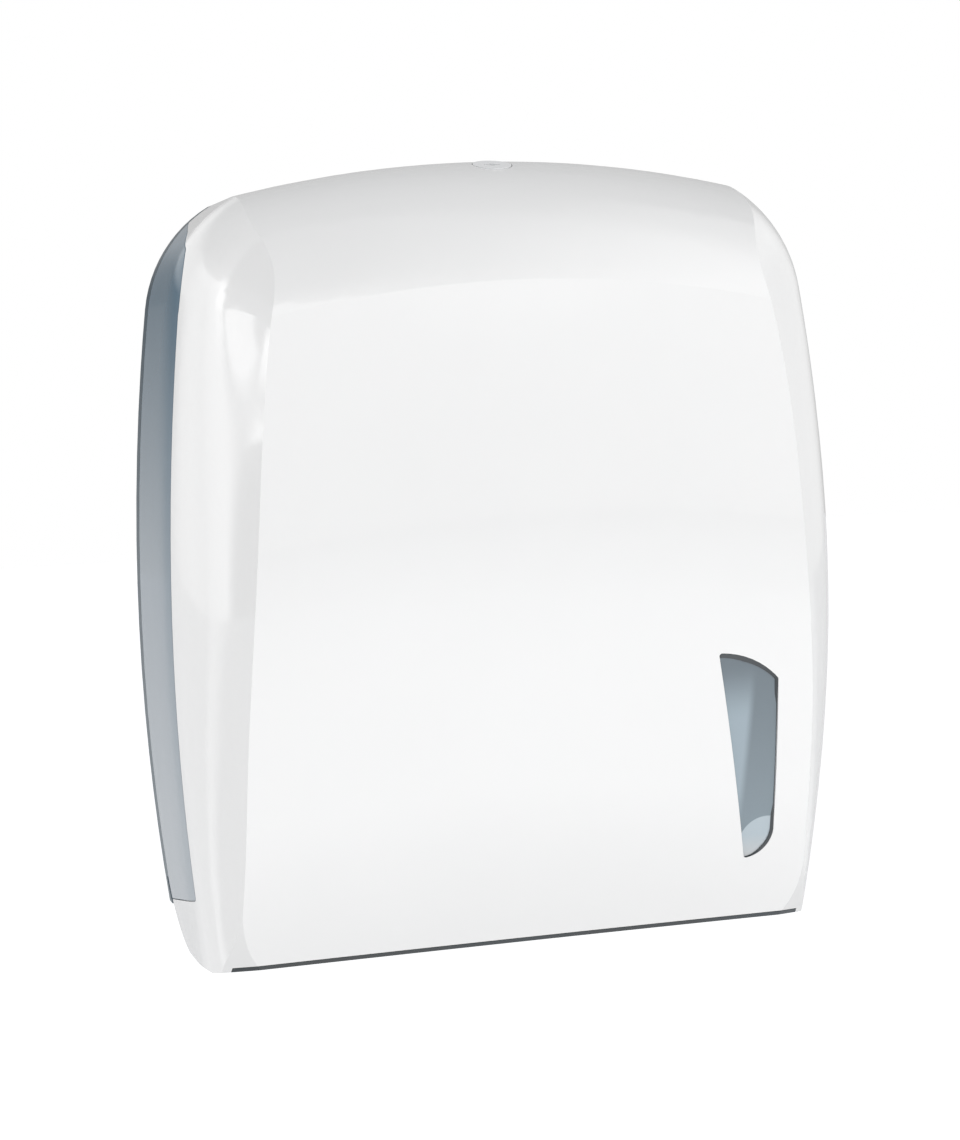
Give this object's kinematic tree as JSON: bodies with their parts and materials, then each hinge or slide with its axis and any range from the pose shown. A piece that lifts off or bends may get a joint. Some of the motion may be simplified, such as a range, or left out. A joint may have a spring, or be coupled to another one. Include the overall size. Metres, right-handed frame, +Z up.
{
  "type": "paper towel dispenser",
  "caption": "Wall-mounted dispenser for folded paper hand towels: bowed hinged cover with key lock, tinted side strips and sight window, outlet slot at the foot.",
  "frame": {"origin": "centre of the four wall screws, on the back face that lies against the wall", "axes": "+X to the right seen from the room, +Y into the wall, +Z up"},
  "size_m": [0.29, 0.1138, 0.3313],
  "materials": {
    "white_plastic": "high gloss",
    "tinted_plastic": "smoky translucent, gloss",
    "tray_plastic": "fine satin",
    "lip_plastic": "smooth",
    "bush_plastic": "natural",
    "lock_plastic": "gloss",
    "lock_metal": "bright plated",
    "plated_steel": "zinc plated",
    "pin_steel": "ground",
    "screw_steel": "zinc plated"
  },
  "bodies": {
    "wall_unit": {"back_plate": "tinted_plastic", "towel_tray": "tray_plastic", "outlet_lip": "lip_plastic", "stack_guide_left": "tray_plastic", "stack_guide_right": "tray_plastic", "lock_keeper": "plated_steel", "hinge_pin_left": "pin_steel", "hinge_pin_right": "pin_steel", "tray_screws": "screw_steel", "guide_screws": "screw_steel", "keeper_screws": "screw_steel"},
    "cover": {"outer_skin": "white_plastic", "inner_shell": "tinted_plastic", "skin_screws": "screw_steel", "hinge_bush_left": "bush_plastic", "hinge_bush_right": "bush_plastic", "lock_housing": "lock_metal", "lock_nut": "lock_metal"},
    "lock": {"lock_rotor": "lock_plastic", "lock_cam": "plated_steel", "cam_washer": "screw_steel", "cam_screw": "screw_steel"}
  },
  "joints": [
    {"name": "cover_hinge", "type": "hinge", "parent": "wall_unit", "child": "cover", "pos_m": [0, -0.036, -0.152], "axis": [1, 0, 0], "range_deg": [0, 95]},
    {"name": "lock_turn", "type": "hinge", "parent": "cover", "child": "lock", "pos_m": [0, -0.062, 0.14953], "axis": [0, -0.2168, 0.9762], "range_deg": [0, 90]}
  ]
}
